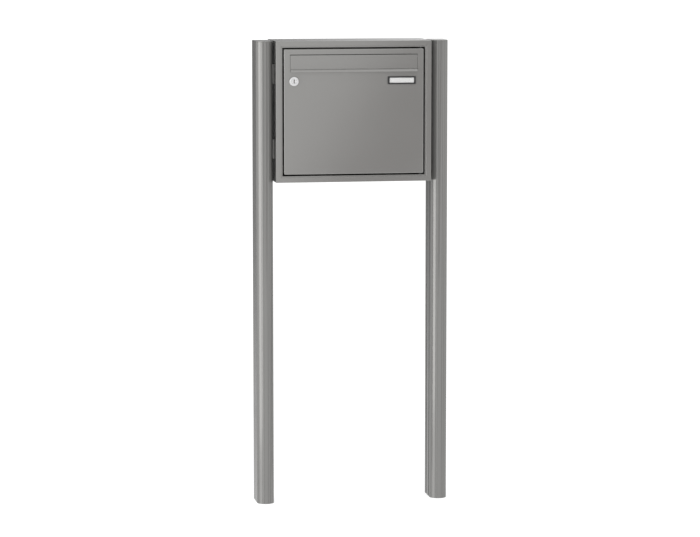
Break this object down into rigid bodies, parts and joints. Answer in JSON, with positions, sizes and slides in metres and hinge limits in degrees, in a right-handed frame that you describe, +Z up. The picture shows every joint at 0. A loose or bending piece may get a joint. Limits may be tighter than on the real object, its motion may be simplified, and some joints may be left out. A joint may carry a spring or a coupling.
{
  "type": "freestanding letterbox",
  "caption": "Freestanding letterbox: a sheet-metal box with a hinged front door, letter flap, cam lock and nameplate, carried between round-nosed posts.",
  "frame": {"origin": "middle of the footprint of the whole object, at ground level", "axes": "+X to the viewer's right, +Y from the front towards the back, +Z up along the posts"},
  "size_m": [0.501, 0.151, 1.2],
  "materials": {
    "alloy_paint": "satin grey powder coat on aluminium",
    "sheet_paint": "satin grey powder coat on steel sheet",
    "zinc_steel": "zinc plated",
    "black_steel": "blackened",
    "lock_chrome": "satin nickel",
    "dark_plastic": "moulded, satin",
    "nylon": "dark grey",
    "rubber": "matt",
    "white_card": "matt card",
    "clear_window": "clear acrylic"
  },
  "bodies": {
    "stand": {"left_post": "alloy_paint", "right_post": "alloy_paint", "left_post_cap": "alloy_paint", "right_post_cap": "alloy_paint", "left_foot_insert": "zinc_steel", "right_foot_insert": "zinc_steel", "foot_screws": "zinc_steel", "spacer_upper_left": "alloy_paint", "spacer_lower_left": "alloy_paint", "spacer_upper_right": "alloy_paint", "spacer_lower_right": "alloy_paint", "channel_nuts": "zinc_steel", "mounting_bolts": "zinc_steel", "bolt_washers": "zinc_steel", "top_panel": "sheet_paint", "bottom_panel": "sheet_paint", "left_panel": "sheet_paint", "right_panel": "sheet_paint", "back_panel": "sheet_paint", "casing_rivets": "zinc_steel", "top_rail": "alloy_paint", "bottom_rail": "alloy_paint", "left_rail": "alloy_paint", "right_rail": "alloy_paint", "corner_keys": "zinc_steel", "frame_rivets": "zinc_steel", "strike_plate": "zinc_steel", "door_stops": "sheet_paint", "stop_buffers": "rubber", "hinge_pin_upper": "black_steel", "hinge_pin_lower": "black_steel"},
    "door": {"door_panel": "sheet_paint", "door_stiffener": "sheet_paint", "hinge_bush_upper": "nylon", "hinge_bush_lower": "nylon", "throat_top": "sheet_paint", "throat_bottom": "sheet_paint", "throat_cheek_left": "sheet_paint", "throat_cheek_right": "sheet_paint", "throat_nuts": "zinc_steel", "flap_pin_left": "zinc_steel", "flap_pin_right": "zinc_steel", "flap_buffers": "rubber", "nameplate_frame": "dark_plastic", "name_card": "white_card", "card_window": "clear_window", "lock_body": "lock_chrome", "lock_nut": "zinc_steel"},
    "flap": {"flap": "alloy_paint", "flap_bush_left": "nylon", "flap_bush_right": "nylon"},
    "lock": {"lock_plug": "lock_chrome", "lock_cam": "zinc_steel", "cam_screw": "zinc_steel"}
  },
  "joints": [
    {"name": "door_hinge", "type": "hinge", "parent": "stand", "child": "door", "pos_m": [0.1745, -0.0635, 1.019], "axis": [0, 0, 1], "range_deg": [0, 95]},
    {"name": "flap_hinge", "type": "hinge", "parent": "door", "child": "flap", "pos_m": [0, -0.064, 1.1595], "axis": [-1, 0, 0], "range_deg": [0, 70]},
    {"name": "lock_turn", "type": "hinge", "parent": "door", "child": "lock", "pos_m": [-0.1557, -0.0695, 1.0975], "axis": [0, 1, 0], "range_deg": [0, 90]}
  ]
}
